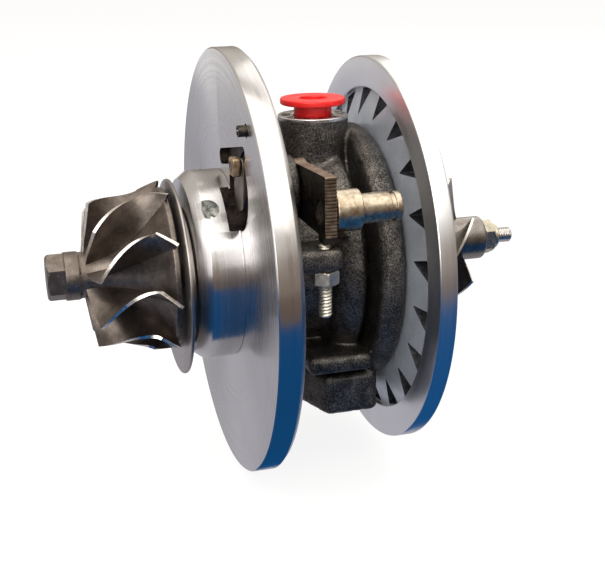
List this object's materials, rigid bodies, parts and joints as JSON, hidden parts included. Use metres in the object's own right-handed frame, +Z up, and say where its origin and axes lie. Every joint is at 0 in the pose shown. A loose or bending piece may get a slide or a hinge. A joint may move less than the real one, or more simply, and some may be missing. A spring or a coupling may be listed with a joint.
{
  "type": "turbo cartridge",
  "caption": "Centre section of a turbocharger: bladed turbine and compressor wheels on one shaft in a cast bearing housing, with a vane lever, stop screw, ribbed backplate and capped oil port.",
  "frame": {"origin": "middle of the cartridge's length, on the rotor's axis", "axes": "+X along the rotor's axis towards the compressor, +Z up through the oil inlet, -Y towards the vane lever"},
  "size_m": [0.1278, 0.11, 0.11],
  "materials": {
    "cast_iron": "rough casting, with turned flange, hub and collar faces",
    "pressed_steel": "pressed sheet",
    "turbine_alloy": "investment cast, with ground blade tips",
    "ground_steel": "ground",
    "bronze": "turned",
    "aluminium": "turned, with cast ribs",
    "wheel_aluminium": "fine cast and turned",
    "rubber": "smooth",
    "plated_steel": "zinc plated",
    "yellow_plated_steel": "yellow zinc plated",
    "dark_steel": "stamped and oxidised",
    "red_plastic": "moulded"
  },
  "bodies": {
    "housing": {"bearing_housing": "cast_iron", "heat_shield": "pressed_steel", "backplate": "aluminium", "backplate_seal_ring": "rubber", "backplate_screw_1": "plated_steel", "backplate_screw_2": "plated_steel", "backplate_screw_3": "plated_steel", "backplate_screw_4": "plated_steel", "turbine_piston_ring": "ground_steel", "compressor_piston_ring": "ground_steel", "bearing_spacer": "ground_steel", "thrust_bearing": "bronze", "oil_deflector": "pressed_steel", "crank_bush": "bronze", "dowel_pin": "ground_steel", "stop_screw_nut": "plated_steel"},
    "rotor": {"turbine_wheel": "turbine_alloy", "rotor_shaft": "ground_steel", "thrust_collar": "ground_steel", "oil_flinger": "ground_steel", "compressor_wheel": "wheel_aluminium", "compressor_nut": "plated_steel"},
    "turbine_bearing": {"turbine_journal_bearing": "bronze"},
    "compressor_bearing": {"compressor_journal_bearing": "bronze"},
    "vane_lever": {"crank": "turbine_alloy", "actuator_lever": "dark_steel", "lever_pin": "yellow_plated_steel"},
    "block": {"crank_block": "bronze"},
    "adjuster": {"stop_screw": "plated_steel"},
    "inlet_cap": {"oil_inlet_cap": "red_plastic"}
  },
  "joints": [
    {"name": "rotor_spin", "type": "hinge", "parent": "housing", "child": "rotor", "pos_m": [0.00585, 0, 0], "axis": [-1, 0, 0], "continuous": true},
    {"name": "turbine_bearing_float", "type": "hinge", "parent": "housing", "child": "turbine_bearing", "pos_m": [-0.017, 0, 0], "axis": [-1, 0, 0], "continuous": true},
    {"name": "compressor_bearing_float", "type": "hinge", "parent": "housing", "child": "compressor_bearing", "pos_m": [0.0073, 0, 0], "axis": [-1, 0, 0], "continuous": true},
    {"name": "vane_lever_pivot", "type": "hinge", "parent": "housing", "child": "vane_lever", "pos_m": [-0.01815, -0.02, 0.023], "axis": [-1, 0, 0], "range_deg": [0, 40]},
    {"name": "block_swivel", "type": "hinge", "parent": "vane_lever", "child": "block", "pos_m": [-0.0195, -0.02285, 0.02972], "axis": [-1, 0, 0], "continuous": true},
    {"name": "stop_screw_adjust", "type": "slide", "parent": "housing", "child": "adjuster", "axis": [0, 0, 1], "range_m": [-0.003, 0]},
    {"name": "inlet_cap_pull", "type": "slide", "parent": "housing", "child": "inlet_cap", "axis": [0, 0, 1], "range_m": [0, 0.012]}
  ]
}
